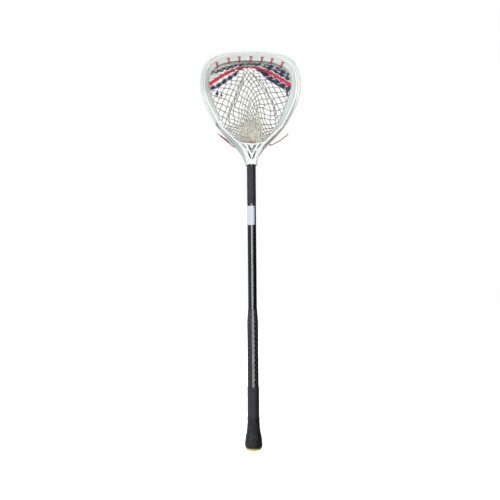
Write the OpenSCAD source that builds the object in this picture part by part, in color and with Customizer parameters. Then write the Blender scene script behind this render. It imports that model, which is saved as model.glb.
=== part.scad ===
// Goalkeeper's lacrosse stick, standing upright on its butt end.
// +Z runs up the shaft to the head, the open face of the head looks along -Y,
// the bag hangs out along +Y, and the origin is the middle of the butt end's face.

/* [Shaft] */
// Width of the shaft from side to side
shaft_w = 26.4; // [25:0.1:27.5]
// Depth of the shaft from front to back
shaft_d = 28; // [27:0.1:29]
// Wall of the hollow shaft
shaft_wall = 1.5; // [1.2:0.1:2.5]
// Height of the shaft's upper end, inside the socket
shaft_top = 922; // [915:1:925]
// Lower edge of the tape under the head
upper_tape_low = 761; // [720:1:800]
// Thickness of the tape under the head
upper_tape_t = 0.6; // [0.3:0.1:1]
// Lower edge of the blank sticker
sticker_low = 695; // [600:1:700]
// Height of the blank sticker
sticker_h = 60; // [30:1:64]

/* [Grip and butt] */
// Upper end of the grip sleeve
sleeve_top = 436; // [400:1:600]
// Length over which the sleeve tapers up to its full width
sleeve_taper = 42; // [20:1:60]
// Thickness of the grip sleeve
sleeve_t = 3.6; // [2:0.1:4]
// Upper edge of the tape over the sleeve
lower_tape_top = 194; // [150:1:300]
// Thickness of the tape over the sleeve
lower_tape_t = 1.4; // [0.5:0.1:2]
// Height of the taped knob
knob_top = 100; // [80:1:120]
// Largest radius of the taped knob
knob_r = 27.2; // [24:0.1:30]

/* [Head] */
// Half width of the head at its widest
head_half_w = 154.5; // [145:0.5:165]
// Height of the tip of the scoop
head_top = 1226; // [1200:1:1260]
// Height of the lower end of the socket
socket_low = 880; // [875:1:885]
// Wall of the socket around the shaft
socket_wall = 3.6; // [3:0.1:5]
// Thickness of the plastic walls
wall_t = 3; // [2.5:0.1:4]
// Thickness of the beads along the walls' edges
bead_t = 7; // [5:0.5:8]

/* [Pocket] */
// Depth of the bag behind the shaft's axis
pocket_depth = 82; // [50:1:95]
// Thickness of the mesh
mesh_t = 3; // [2:0.5:4]
// Width of a shooting lace
lace_w = 10; // [6:0.5:11]
// Thickness of a shooting lace
lace_t = 2.6; // [2:0.1:3.5]

/* [Strings] */
// Diameter of the strings that tie the mesh
string_d = 2.8; // [2:0.1:3.5]

/* [Hidden] */

// Flats of the shaft's eight-sided section: half lengths of the front and side flats
front_flat = 4.2;
side_flat = 6;
fit_gap = 0.15;

// Edges of the head on its right half, as chains of cubic curves from the scoop's middle
// down to the socket. Outer edge: foremost along the sides, rearmost at the throat.
OUTER = [
    [0, -40, head_top], [113, -37, head_top], [head_half_w, -18, 1209], [head_half_w, -14, 1127],
    [head_half_w, -12, 1088], [134, -4, 1043], [103, 8, 1001],
    [88, 14, 982], [70, 24, 964], [51, 28, 946],
    [34, 31, 929], [16.5, 26, 903], [14.8, 14, socket_low]
];
// Ridge between the outer band and the inner wall; it is the front rail at the throat.
RIDGE = [
    [0, -33, 1219], [106, -30, 1219], [143, -12, 1199], [143, -10, 1127],
    [143, -9, 1095], [124, -14, 1050], [94, -18, 999],
    [84, -19, 987], [60, -21, 967], [44, -22, 951],
    [28, -22, 936], [13, -20, 908], [14.6, -17, socket_low]
];
// Inner edge, where the mesh is tied on.
INNER = [
    [0, -12, 1205], [100, -10, 1206], [137, 8, 1184], [130.5, 20, 1128],
    [124, 22, 1098], [103, 26, 1042], [84, 28, 1004],
    [75, 29, 992], [61, 30, 974], [48, 30, 963]
];
RAIL_STEPS = 10;

// Throat: the arc that closes the opening, and the plates below it
arc_r = 111;
arc_top = 945;
arc_centre_z = arc_top + arc_r;
throat_front = -22;
throat_back = 30;
plate_t = 4;

// Screw that holds the head on the shaft
screw_z = 897;
screw_r = 1.6;
screw_head_r = 4;
screw_head_t = 2.6;
screw_len = 16;

// Bag: a runs from the scoop to the throat, b across it from the left wall to the right
FOLD = 0.28;
END_TOP = 0.62;
END_FOLD = 1.06;
END_LOW = 3;
PEAK_ROUND = 0.12;
BAG_ROWS = 26;
BAG_COLS = 24;
MESH_EDGE = 0.98;
LACE_ROWS = [0.13, 0.22, 0.295];

// Top string's stitches along the scoop
STITCH_X = [-100, -69.6, -35.4, 0, 34.2, 67, 96];
stitch_bar = 9;

// Routes of the free string ends
LEFT_TAIL = [
    [-47, 25, 942], [-52, 22, 941], [-57, 18, 943], [-61, 14, 946], [-65, 11, 949],
    [-69, 9, 952], [-73, 7, 955], [-77, 5, 958], [-81, 4, 961], [-85, 3, 964],
    [-89, 2, 967], [-93, 1, 970], [-96, 1, 973], [-99, 0, 976], [-102, 0, 979]
];
RIGHT_TAIL = [
    [58, 23, 951], [62, 20, 947], [66, 17, 947], [71, 14, 949], [77, 11, 952],
    [83, 8, 955], [89, 6, 958], [94, 4, 961], [98, 3, 964], [102, 1, 967],
    [106, 0, 970], [110, -1, 973], [113, -2, 976], [116, -3, 979]
];
BLACK_TAIL = [
    [-62, 20, 948], [-65, 18, 951], [-68, 15, 954], [-71, 13, 957], [-74, 11, 960],
    [-77, 9, 962], [-80, 8, 964], [-83, 7, 966], [-86, 6, 968], [-89, 5, 970],
    [-91, 5, 972], [-93, 4, 974]
];
SIDE_END = [
    [-86, 14, 984], [-88, 12, 986], [-90, 10, 988], [-92, 8, 990], [-94, 6, 992],
    [-96, 4, 994], [-98, 2, 996], [-100, 0, 998], [-102, -1, 1000], [-104, -2, 1003],
    [-106, -3, 1006], [-107, -4, 1008], [-108, -5, 1010]
];

function unit(v) = v / norm(v);
function mix(a, b, t) = a + (b - a) * t;

function cubic(p, i, t) =
    p[i] * pow(1 - t, 3) + 3 * p[i + 1] * t * pow(1 - t, 2)
    + 3 * p[i + 2] * t * t * (1 - t) + p[i + 3] * pow(t, 3);

// Point at u on a rail: 0 is the scoop's middle, and a negative u is the left half.
function rail(p, u) =
    let (last = (len(p) - 1) / 3)
    let (s = min(abs(u), last - 0.0001))
    let (q = cubic(p, 3 * floor(s), s - floor(s)))
    [q.x * (u < 0 ? -1 : 1), q.y, q.z];

// The ridge is a bead along the sides and fades out over the scoop.
function ridge_bead(u) = lookup(abs(u), [[0.55, wall_t + 0.6], [1.1, bead_t]]);

function rail_dir(p, u) = unit(rail(p, u + 0.01) - rail(p, u - 0.01));

// Section of a wall from edge a to edge b: a thin web with a thicker bead at each edge.
function wall_ring(a, b, along, bead_a, bead_b) =
    let (across = unit(b - a), span = norm(b - a))
    let (out = unit(cross(along, across)))
    let (ra = min(bead_a / 2, span / 4), rb = min(bead_b / 2, span / 4), w = wall_t / 2)
    [
        a - across * ra * 0.4 - out * ra * 0.6,
        a + across * ra * 0.9 - out * ra,
        a + across * ra * 1.8 - out * w,
        b - across * rb * 1.8 - out * w,
        b - across * rb * 0.9 - out * rb,
        b + across * rb * 0.4 - out * rb * 0.6,
        b + across * rb * 0.4 + out * rb * 0.6,
        b - across * rb * 0.9 + out * rb,
        b - across * rb * 1.8 + out * w,
        a + across * ra * 1.8 + out * w,
        a + across * ra * 0.9 + out * ra,
        a - across * ra * 0.4 + out * ra * 0.6
    ];

// Triangles of a cap over one ring, laid as a ladder between its two halves
function cap_faces(sides, first, turn) = [
    for (i = [0 : sides / 2 - 2], half = [0, 1])
        let (q = half == 0 ? [i, i + 1, sides - 2 - i] : [i, sides - 2 - i, sides - 1 - i])
        [for (k = turn ? [0, 1, 2] : [2, 1, 0]) first + q[k]]
];

// Triangles of a closed tube through equal rings
function tube_faces(rings, sides) = concat(
    cap_faces(sides, 0, true),
    [
        for (r = [0 : rings - 2], s = [0 : sides - 1], half = [0, 1])
            let (t = (s + 1) % sides, low = r * sides, high = low + sides)
            half == 0 ? [low + s, high + t, low + t] : [low + s, high + s, high + t]
    ],
    cap_faces(sides, (rings - 1) * sides, false)
);

module skin(rings) {
    sides = len(rings[0]);
    polyhedron([for (r = rings, p = r) p], tube_faces(len(rings), sides), convexity = 12);
}

// Round string along a route that never runs along the vector level
function route_dir(path, i) =
    unit(path[min(i + 1, len(path) - 1)] - path[max(i - 1, 0)]);

function string_ring(p, along, level, r, sides) =
    let (side = unit(cross(along, level)))
    let (up = cross(side, along))
    [for (k = [0 : sides - 1]) p + r * (cos(360 * k / sides) * up + sin(360 * k / sides) * side)];

// Route with each of its corners cut
function rounded(path) = concat(
    [path[0]],
    [
        for (i = [0 : len(path) - 2], t = [0.25, 0.75])
            mix(path[i], path[i + 1], t)
    ],
    [path[len(path) - 1]]
);

module string_along(path, d, level = [0, 0, 1], sides = 8) {
    skin([
        for (i = [0 : len(path) - 1])
            string_ring(path[i], route_dir(path, i), level, d / 2, sides)
    ]);
}

// Eight-sided section of the shaft, grown outwards by g with its flats kept parallel
function shaft_points(g) =
    let (hw = shaft_w / 2, hd = shaft_d / 2)
    let (n = unit([hd - side_flat, hw - front_flat]))
    let (c = n.x * hw + n.y * side_flat + g)
    let (fx = (c - n.y * (hd + g)) / n.x, sy = (c - n.x * (hw + g)) / n.y)
    [
        [hw + g, -sy], [hw + g, sy], [fx, hd + g], [-fx, hd + g],
        [-hw - g, sy], [-hw - g, -sy], [-fx, -hd - g], [fx, -hd - g]
    ];

module shaft_solid(g, low, high) {
    translate([0, 0, low]) linear_extrude(high - low) polygon(shaft_points(g));
}

module shaft_ring(g_in, g_out, low, high) {
    difference() {
        shaft_solid(g_out, low, high);
        shaft_solid(g_in, low - 1, high + 1);
    }
}

module shaft() {
    color([0.05, 0.05, 0.06]) difference() {
        shaft_solid(0, 12, shaft_top);
        shaft_solid(-shaft_wall, 11, shaft_top + 1);
        translate([0, shaft_d / 2 + 1, screw_z]) rotate([90, 0, 0])
            cylinder(h = shaft_wall + 3, r = screw_r + 0.05, $fn = 32);
    }
}

module upper_tape() {
    color([0.2, 0.2, 0.22]) shaft_ring(0, upper_tape_t, upper_tape_low, socket_low - 0.3);
}

module sticker() {
    sticker_t = 0.4;
    color([0.95, 0.95, 0.95]) intersection() {
        shaft_ring(0, sticker_t, sticker_low, sticker_low + sticker_h);
        translate([-20, -20, sticker_low - 1]) cube([31, 20, sticker_h + 2]);
    }
}

module grip_sleeve() {
    color([0.08, 0.08, 0.09]) difference() {
        union() {
            shaft_solid(sleeve_t, 14, sleeve_top - sleeve_taper);
            hull() {
                shaft_solid(sleeve_t, sleeve_top - sleeve_taper - 1, sleeve_top - sleeve_taper);
                shaft_solid(0.5, sleeve_top - 1, sleeve_top);
            }
        }
        shaft_solid(0, 13, sleeve_top + 1);
    }
}

module lower_tape() {
    color([0.22, 0.22, 0.24]) shaft_ring(sleeve_t, sleeve_t + lower_tape_t, 14, lower_tape_top);
}

module knob_tape() {
    neck_t = 0.8;
    color([0.2, 0.2, 0.22]) difference() {
        union() {
            rotate_extrude($fn = 96) polygon([
                [0, 6.6], [knob_r - 2, 6.6], [knob_r - 0.5, 9.5], [knob_r, 15], [knob_r - 0.5, 23],
                [knob_r - 1.6, 34], [knob_r - 3.4, 44], [knob_r - 5.4, 60],
                [knob_r - 7.4, 84], [0, 84]
            ]);
            shaft_solid(sleeve_t + lower_tape_t + neck_t, 50, knob_top);
        }
        shaft_solid(sleeve_t + lower_tape_t, 13.9, knob_top + 1);
        translate([0, 0, 4]) cylinder(h = 10, r = 22, $fn = 96);
    }
}

module end_cap() {
    cap_r = 24.8;
    plug_gap = 0.1;
    color([0.78, 0.72, 0.16]) union() {
        rotate_extrude($fn = 96) polygon([
            [0, 0], [cap_r - 3, 0], [cap_r - 0.8, 1.2], [cap_r, 3], [cap_r, 6.4],
            [21.8, 6.4], [21.8, 11.9], [0, 11.9]
        ]);
        shaft_solid(-shaft_wall - plug_gap, 11, 48);
    }
}

// Outer band and inner wall of the moulded head
module outer_band() {
    last = 4 * RAIL_STEPS;
    skin([
        for (i = [-last : last])
            let (u = i / RAIL_STEPS)
            wall_ring(rail(RIDGE, u), rail(OUTER, u), rail_dir(OUTER, u),
                      ridge_bead(u), bead_t - 1)
    ]);
}

module inner_wall() {
    last = 3 * RAIL_STEPS;
    skin([
        for (i = [-last : last])
            let (u = i / RAIL_STEPS)
            wall_ring(rail(INNER, u), rail(RIDGE, u), rail_dir(RIDGE, u),
                      bead_t - 1, ridge_bead(u))
    ]);
}

// Outline of the throat between its two rails, seen from the front
function throat_half(p, top_u) =
    [for (i = [0 : 10]) let (q = rail(p, mix(4, top_u, i / 10))) [q.x, q.z]];

module throat_outline(p, top_u, low) {
    right = throat_half(p, top_u);
    points = [for (q = right) if (q[1] >= low) q];
    intersection() {
        polygon(concat(points, [for (i = [len(points) - 1 : -1 : 0]) [-points[i][0], points[i][1]]]));
        difference() {
            translate([-60, 850]) square([120, 125]);
            translate([0, arc_centre_z]) circle(r = arc_r, $fn = 180);
        }
    }
}

module slot(from, to, width) {
    along = unit(to - from);
    side = [along.y, -along.x] * width / 2;
    polygon([from - side, to - side * 0.7, to + side * 0.7, from + side]);
}

module throat_windows() {
    polygon([[-15, 941], [15, 941], [1.5, 917.5], [-1.5, 917.5]]);
    for (s = [-1, 1]) {
        slot([s * 11.6, 919], [s * 3, 898], 4.6);
        slot([s * 29, 944.5], [s * 17, 930], 3.4);
    }
}

// Plate in the X-Z plane between two depths
module upright(front, back) {
    translate([0, back, 0]) rotate([90, 0, 0]) linear_extrude(back - front) children();
}

module throat() {
    upright(throat_front, throat_front + plate_t) difference() {
        throat_outline(RIDGE, 2.9, socket_low);
        throat_windows();
    }
    upright(throat_back - plate_t - 2, throat_back - 2) throat_outline(OUTER, 3.02, 915);
    upright(throat_front, throat_back) intersection() {
        difference() {
            translate([0, arc_centre_z]) circle(r = arc_r + plate_t, $fn = 180);
            translate([0, arc_centre_z]) circle(r = arc_r, $fn = 180);
        }
        translate([-49, 900]) square([98, 70]);
    }
    shaft_ring(fit_gap, socket_wall + 0.3, socket_low, shaft_top + 4);
}

module head_frame() {
    color([0.93, 0.95, 0.92]) difference() {
        union() {
            outer_band();
            inner_wall();
            throat();
        }
        shaft_solid(fit_gap, socket_low - 10, shaft_top + 1);
        translate([0, 40, screw_z]) rotate([90, 0, 0])
            cylinder(h = 30, r = screw_r + 0.4, $fn = 32);
        translate([0, 40, screw_z]) rotate([90, 0, 0])
            cylinder(h = 40 - shaft_d / 2 - socket_wall, r = screw_head_r + 1, $fn = 48);
    }
}

module ball_stop() {
    pad_t = 2.2;
    color([0.8, 0.8, 0.76]) upright(throat_front + 3, throat_back - 4) intersection() {
        difference() {
            translate([0, arc_centre_z]) circle(r = arc_r, $fn = 180);
            translate([0, arc_centre_z]) circle(r = arc_r - pad_t, $fn = 180);
        }
        translate([-32, 900]) square([64, 70]);
    }
}

module head_screw() {
    seat = shaft_d / 2 + socket_wall;
    color([0.55, 0.56, 0.58]) difference() {
        translate([0, seat, screw_z]) rotate([90, 0, 0]) union() {
            cylinder(h = screw_len, r = screw_r, $fn = 32);
            translate([0, 0, -screw_head_t]) cylinder(h = screw_head_t, r = screw_head_r, $fn = 48);
        }
        for (turn = [0, 90])
            translate([0, seat + screw_head_t, screw_z]) rotate([0, turn, 0])
                cube([4.6, 2.4, 0.9], center = true);
    }
}

// Where a row of the bag ends on the walls, and where it crosses the middle
function row_end_u(a) = a < FOLD
    ? mix(END_TOP, END_FOLD, a / FOLD)
    : mix(END_FOLD, END_LOW, (a - FOLD) / (1 - FOLD));

BAG_MIDDLE = [
    [0, -8, 1202], [0, 22, 1204], [0, 52, 1204], [0, pocket_depth, 1203],
    [0, pocket_depth - 2, 1122], [0, 56, 1032], [0, 31, 951]
];
function row_middle(a) = a < FOLD
    ? cubic(BAG_MIDDLE, 0, a / FOLD)
    : cubic(BAG_MIDDLE, 3, (a - FOLD) / (1 - FOLD));

function peak(b) =
    (sqrt(b * b + PEAK_ROUND * PEAK_ROUND) - PEAK_ROUND)
    / (sqrt(1 + PEAK_ROUND * PEAK_ROUND) - PEAK_ROUND);

// Height along a row: flat-topped at the scoop, a tent at the fold, then more and more of
// an arch a little right of the middle, and a plain curve at the throat
function tent(a, b) = 1 - pow(peak(b), lookup(a, [[0, 3.2], [FOLD, 1.15]]));
function arch(a, b) =
    exp(-pow(abs(b - lookup(a, [[FOLD, 0.06], [0.5, 0.26], [0.65, 0.2], [0.8, 0.06]])) / 0.42, 2.4));
function tent_share(a) = lookup(a, [[FOLD, 1], [0.5, 0.65], [0.7, 0.25], [0.85, 0.1], [1, 0]]);
function arch_share(a) = lookup(a, [[FOLD, 0], [0.5, 0.35], [0.7, 0.65], [0.85, 0.5], [1, 0]]);
function height(a, b) =
    let (t = tent_share(a), h = arch_share(a))
    t * tent(a, b) + h * arch(a, b) + (1 - t - h) * (1 - b * b);
// Depth along a row
function depth(a, b) =
    1 - pow(peak(b), lookup(a, [[0, 3.2], [FOLD, 1.6], [0.5, 1.9], [0.8, 2.2], [1, 2]]));

function bag(a, b) =
    let (end = rail(INNER, row_end_u(a)), middle = row_middle(a))
    [b * end.x, mix(end.y, middle.y, depth(a, b)), mix(end.z, middle.z, height(a, b))];

function bag_along(a, b) = unit(bag(min(a + 0.01, 1), b) - bag(max(a - 0.01, 0), b));
function bag_across(a, b) = unit(bag(a, b + 0.02) - bag(a, b - 0.02));
// Direction out of the bag, away from the open face
function bag_out(a, b) = unit(cross(bag_across(a, b), bag_along(a, b)));

module mesh_pocket() {
    cols = BAG_COLS + 1;
    color([0.72, 0.68, 0.56]) skin([
        for (i = [0 : BAG_ROWS])
            let (a = i / BAG_ROWS)
            concat(
                [for (j = [BAG_COLS : -1 : 0])
                    let (b = MESH_EDGE * (2 * j / BAG_COLS - 1)) bag(a, b)],
                [for (j = [0 : BAG_COLS])
                    let (b = MESH_EDGE * (2 * j / BAG_COLS - 1)) bag(a, b) + mesh_t * bag_out(a, b)]
            )
    ]);
}

// Flat lace lying across the inside of the bag
module lace(a, width, tone) {
    color(tone) skin([
        for (j = [-BAG_COLS : BAG_COLS])
            let (b = 0.955 * j / BAG_COLS)
            let (p = bag(a, b), along = bag_along(a, b) * width / 2, out = bag_out(a, b))
            [
                p - along - out * (lace_t + 0.3), p + along - out * (lace_t + 0.3),
                p + along - out * 0.3, p - along - out * 0.3
            ]
    ]);
}

NAVY = [0.09, 0.11, 0.22];
RED = [0.75, 0.08, 0.16];
BLACK = [0.06, 0.05, 0.06];

// The top one is a double lace
module shooting_lace_top() lace(LACE_ROWS[0], 1.8 * lace_w, NAVY);
module shooting_lace_middle() lace(LACE_ROWS[1], lace_w, RED);
module shooting_lace_lower() lace(LACE_ROWS[2], lace_w, NAVY);

// Knots and short ends of the laces at a side wall
module knot(p, r) {
    translate(p) sphere(r = r, $fn = 24);
}

module lace_knots_left() {
    color(NAVY) {
        knot(bag(0.362, -0.845) - [0, 6, 0], 4.6);
        knot(bag(0.39, -0.75) - [0, 5, 0], 3.4);
    }
}

module lace_knots_right() {
    color(NAVY) {
        knot(bag(0.328, 0.935) - [0, 6, 0], 4.4);
        knot(bag(0.35, 0.945) - [0, 6, 0], 3.4);
    }
}

// Point on the scoop's wall: s runs from its inner edge, 0, to the ridge, 1
function scoop_u(x) = lookup(abs(x), [[0, 0], [56, 0.2], [88, 0.36], [112, 0.6]]);
function scoop_point(x, s) =
    let (u = scoop_u(x) * (x < 0 ? -1 : 1))
    mix(rail(INNER, u), rail(RIDGE, u), s);
function scoop_front(x) =
    let (u = scoop_u(x) * (x < 0 ? -1 : 1))
    let (across = rail(RIDGE, u) - rail(INNER, u))
    let (n = unit(cross(rail_dir(RIDGE, u), across)))
    n.y < 0 ? n : -n;

module stitch(x) {
    n = scoop_front(x);
    side = [stitch_bar / 2, 0, 0];
    lift = n * (wall_t / 2 + string_d / 2 + 0.1);
    high = scoop_point(x, 0.62) + lift;
    edge = scoop_point(x, 0.0) + n * (bead_t / 2 + string_d / 2 + 0.1);
    under = scoop_point(x, 0.0) + [0, 1, -bead_t / 2 - string_d / 2 - 0.6];
    behind = scoop_point(x, 0.1) - n * (bead_t / 2 + string_d / 2 + 0.4);
    across = unit(scoop_point(x, 1) - scoop_point(x, 0));
    string_along(rounded([high - side - lift * 2.4, high - side, high + side,
                          high + side - lift * 2.4]), string_d, level = across);
    string_along(rounded([high, edge, under, behind]), string_d, level = [1, 0, 0]);
}

module top_string() {
    behind = [
        for (i = [-16 : 16])
            let (x = 6.6 * i)
            scoop_point(x, 0.1) - scoop_front(x) * (bead_t / 2 + string_d / 2 + 0.4)
    ];
    color(RED) union() {
        for (x = STITCH_X) stitch(x);
        string_along(behind, string_d);
    }
}

// String laced along the back of a side wall, over and under the mesh's edge
module sidewall_string(side, tone) {
    steps = 44;
    color(tone) string_along([
        for (i = [0 : steps])
            let (u = mix(0.66, 2.9, i / steps))
            let (p = rail(INNER, u))
            let (wave = 1.6 * sin(i * 90))
            [side * (p.x - 3.5 + wave), p.y + bead_t / 2 + 2.2 + 0.5 * cos(i * 90), p.z]
    ], string_d);
}

module left_sidewall_string() sidewall_string(-1, RED);
module right_sidewall_string() sidewall_string(1, BLACK);

module bottom_string() {
    color(RED) union() {
        string_along([
            for (i = [-6 : 6])
                let (x = 6 * i)
                let (z = arc_centre_z - sqrt(arc_r * arc_r - x * x))
                [x, throat_back + string_d / 2 + 0.2, z + 1.5 + 1.5 * cos(i * 180)]
        ], string_d);
        string_along([[-9, -8, 950.5], [-5, -12, 951.5], [0, -13, 951], [6, -12.5, 951.5],
                      [11, -9, 951]], string_d);
    }
}

module left_string_tail() {
    color(RED) string_along(LEFT_TAIL, string_d);
}

module right_string_tail() {
    color(RED) string_along(RIGHT_TAIL, string_d);
}

module black_string_tail() {
    color(BLACK) string_along(BLACK_TAIL, string_d);
}

module right_tail_knot() {
    color(BLACK) knot(RIGHT_TAIL[1], 3.4);
}

module side_string_end() {
    color(BLACK) string_along(SIDE_END, string_d);
}

shaft();
upper_tape();
sticker();
grip_sleeve();
lower_tape();
knob_tape();
end_cap();
head_frame();
ball_stop();
head_screw();
mesh_pocket();
shooting_lace_top();
shooting_lace_middle();
shooting_lace_lower();
lace_knots_left();
lace_knots_right();
top_string();
left_sidewall_string();
right_sidewall_string();
bottom_string();
left_string_tail();
right_string_tail();
black_string_tail();
side_string_end();
right_tail_knot();
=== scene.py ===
import math

import bmesh
import bpy
import numpy as np
from mathutils import Matrix, Vector
from mathutils.kdtree import KDTree


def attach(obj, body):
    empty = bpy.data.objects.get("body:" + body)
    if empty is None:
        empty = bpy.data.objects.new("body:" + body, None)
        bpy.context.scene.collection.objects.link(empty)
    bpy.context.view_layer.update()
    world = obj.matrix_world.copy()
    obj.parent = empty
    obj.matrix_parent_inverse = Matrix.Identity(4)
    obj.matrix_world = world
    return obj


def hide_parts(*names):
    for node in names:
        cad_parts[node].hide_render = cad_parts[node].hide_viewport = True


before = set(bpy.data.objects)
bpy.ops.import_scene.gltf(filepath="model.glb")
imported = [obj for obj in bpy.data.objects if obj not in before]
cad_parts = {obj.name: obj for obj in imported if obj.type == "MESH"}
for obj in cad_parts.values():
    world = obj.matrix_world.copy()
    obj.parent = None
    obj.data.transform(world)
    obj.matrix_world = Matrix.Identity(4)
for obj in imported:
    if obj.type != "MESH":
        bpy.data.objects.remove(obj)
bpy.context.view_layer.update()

MM = 0.001  # shapes are worked out in mm, as in the CAD, and made in metres
STICK = "stick"
RNG = np.random.default_rng(4117)

# ---------------- numbers shared with the CAD, in mm

SHAFT_W, SHAFT_D, SHAFT_WALL, SHAFT_LOW, SHAFT_TOP = 26.4, 28.0, 1.5, 12.0, 922.0
FRONT_FLAT, SIDE_FLAT, FIT_GAP = 4.2, 6.0, 0.15
UPPER_TAPE = (761.0, 879.7, 0.6)  # low end, high end, thickness
STICKER = (695.0, 755.0, 0.4)
SLEEVE_LOW, SLEEVE_TOP, SLEEVE_TAPER, SLEEVE_T = 14.0, 436.0, 42.0, 3.6
LOWER_TAPE_TOP, LOWER_TAPE_T = 194.0, 1.4
SOCKET_LOW, SOCKET_WALL = 880.0, 3.6
WALL_T, BEAD_T = 3.0, 7.0
ARC_R, ARC_TOP = 111.0, 945.0
ARC_Z = ARC_TOP + ARC_R
THROAT_FRONT, THROAT_BACK, PLATE_T = -22.0, 30.0, 4.0
SCREW_Z = 897.0
STRING_D, LACE_W = 2.8, 12.5
STRING_R = STRING_D / 2 * 0.92  # a laced string is drawn thinner than a free one

OUTER = np.array([
    [0, -40, 1226], [113, -37, 1226], [154.5, -18, 1209], [154.5, -14, 1127],
    [154.5, -12, 1088], [134, -4, 1043], [103, 8, 1001],
    [88, 14, 982], [70, 24, 964], [51, 28, 946],
    [34, 31, 929], [16.5, 26, 903], [14.8, 14, 880]], float)
RIDGE = np.array([
    [0, -33, 1219], [106, -30, 1219], [143, -12, 1199], [143, -10, 1127],
    [143, -9, 1095], [124, -14, 1050], [94, -18, 999],
    [84, -19, 987], [60, -21, 967], [44, -22, 951],
    [28, -22, 936], [13, -20, 908], [14.6, -17, 880]], float)
INNER = np.array([
    [0, -12, 1205], [100, -10, 1206], [137, 8, 1184], [130.5, 20, 1128],
    [124, 22, 1098], [103, 26, 1042], [84, 28, 1004],
    [75, 29, 992], [61, 30, 974], [48, 30, 963]], float)
BAG_MIDDLE = np.array([
    [0, -8, 1202], [0, 22, 1204], [0, 52, 1204], [0, 82, 1203],
    [0, 80, 1122], [0, 56, 1032], [0, 31, 951]], float)
FOLD, END_TOP, END_FOLD, END_LOW, PEAK_ROUND = 0.28, 0.62, 1.06, 3.0, 0.12
LACE_ROWS = (0.13, 0.22, 0.295)
STITCH_X = (-100, -69.6, -35.4, 0, 34.2, 67, 96)

LEFT_TAIL = [
    [-47, 25, 942], [-52, 22, 941], [-57, 18, 943], [-61, 14, 946], [-65, 11, 949],
    [-69, 9, 952], [-73, 7, 955], [-77, 5, 958], [-81, 4, 961], [-85, 3, 964],
    [-89, 2, 967], [-93, 1, 970], [-96, 1, 973], [-99, 0, 976], [-102, 0, 979]]
RIGHT_TAIL = [
    [58, 23, 951], [62, 20, 947], [66, 17, 947], [71, 14, 949], [77, 11, 952],
    [83, 8, 955], [89, 6, 958], [94, 4, 961], [98, 3, 964], [102, 1, 967],
    [106, 0, 970], [110, -1, 973], [113, -2, 976], [116, -3, 979]]
BLACK_TAIL = [
    [-62, 20, 948], [-65, 18, 951], [-68, 15, 954], [-71, 13, 957], [-74, 11, 960],
    [-77, 9, 962], [-80, 8, 964], [-83, 7, 966], [-86, 6, 968], [-89, 5, 970],
    [-91, 5, 972], [-93, 4, 974]]
SIDE_END = [
    [-86, 14, 984], [-88, 12, 986], [-90, 10, 988], [-92, 8, 990], [-94, 6, 992],
    [-96, 4, 994], [-98, 2, 996], [-100, 0, 998], [-102, -1, 1000], [-104, -2, 1003],
    [-106, -3, 1006], [-107, -4, 1008], [-108, -5, 1010]]


# ---------------- curves and surfaces of the design

def unit(v):
    return v / np.maximum(np.linalg.norm(v, axis=-1, keepdims=True), 1e-9)


def length_along(points):
    """How far along a route each of its points is."""
    return np.concatenate([[0], np.cumsum(np.linalg.norm(np.diff(points, axis=0), axis=1))])


def ring_turn(sides):
    return 2 * np.pi * np.arange(sides) / sides


def chain(p, s):
    """Points at s along a chain of cubic curves, s counted in curves."""
    s = np.clip(np.atleast_1d(np.asarray(s, float)), 0, (len(p) - 1) / 3 - 1e-6)
    i = np.floor(s).astype(int)
    t = (s - i)[:, None]
    return (p[3 * i] * (1 - t) ** 3 + 3 * p[3 * i + 1] * t * (1 - t) ** 2
            + 3 * p[3 * i + 2] * t * t * (1 - t) + p[3 * i + 3] * t ** 3)


def rail(p, u):
    """Points on a rail of the head; a negative u is the left half."""
    u = np.atleast_1d(np.asarray(u, float))
    q = chain(p, np.abs(u))
    q[:, 0] *= np.where(u < 0, -1, 1)
    return q


def rail_dir(p, u):
    u = np.atleast_1d(np.asarray(u, float))
    return unit(rail(p, u + 0.01) - rail(p, u - 0.01))


def arc_z(x, radius=ARC_R):
    """Height of the throat's arc at x."""
    return ARC_Z - np.sqrt(radius ** 2 - x ** 2)


def bag(a, b):
    """Surface of the bag: a runs from the scoop to the throat, b from the left wall to the right."""
    a, b = np.broadcast_arrays(np.atleast_1d(np.asarray(a, float)), np.atleast_1d(np.asarray(b, float)))
    shape = a.shape
    a, b = a.ravel(), b.ravel()
    down = (a - FOLD) / (1 - FOLD)
    u = np.where(a < FOLD, END_TOP + (END_FOLD - END_TOP) * a / FOLD, END_FOLD + (END_LOW - END_FOLD) * down)
    end = rail(INNER, u)
    middle = chain(BAG_MIDDLE, np.where(a < FOLD, np.minimum(a / FOLD, 1), 1 + down))
    peak = (np.sqrt(b * b + PEAK_ROUND ** 2) - PEAK_ROUND) / (math.sqrt(1 + PEAK_ROUND ** 2) - PEAK_ROUND)
    tent = 1 - peak ** np.interp(a, [0, FOLD], [3.2, 1.15])
    centre = np.interp(a, [FOLD, 0.5, 0.65, 0.8], [0.06, 0.26, 0.2, 0.06])
    arch = np.exp(-(np.abs(b - centre) / 0.42) ** 2.4)
    of_tent = np.interp(a, [FOLD, 0.5, 0.7, 0.85, 1], [1, 0.65, 0.25, 0.1, 0])
    of_arch = np.interp(a, [FOLD, 0.5, 0.7, 0.85, 1], [0, 0.35, 0.65, 0.5, 0])
    high = of_tent * tent + of_arch * arch + (1 - of_tent - of_arch) * (1 - b * b)
    deep = 1 - peak ** np.interp(a, [0, FOLD, 0.5, 0.8, 1], [3.2, 1.6, 1.9, 2.2, 2])
    p = np.stack([b * end[:, 0], end[:, 1] + (middle[:, 1] - end[:, 1]) * deep,
                  end[:, 2] + (middle[:, 2] - end[:, 2]) * high], axis=1)
    return p.reshape(shape + (3,))


def bag_along(a, b):
    return unit(bag(np.minimum(a + 0.01, 1), b) - bag(np.maximum(a - 0.01, 0), b))


def bag_out(a, b):
    across = unit(bag(a, b + 0.02) - bag(a, b - 0.02))
    return unit(np.cross(across, bag_along(a, b)))


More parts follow.
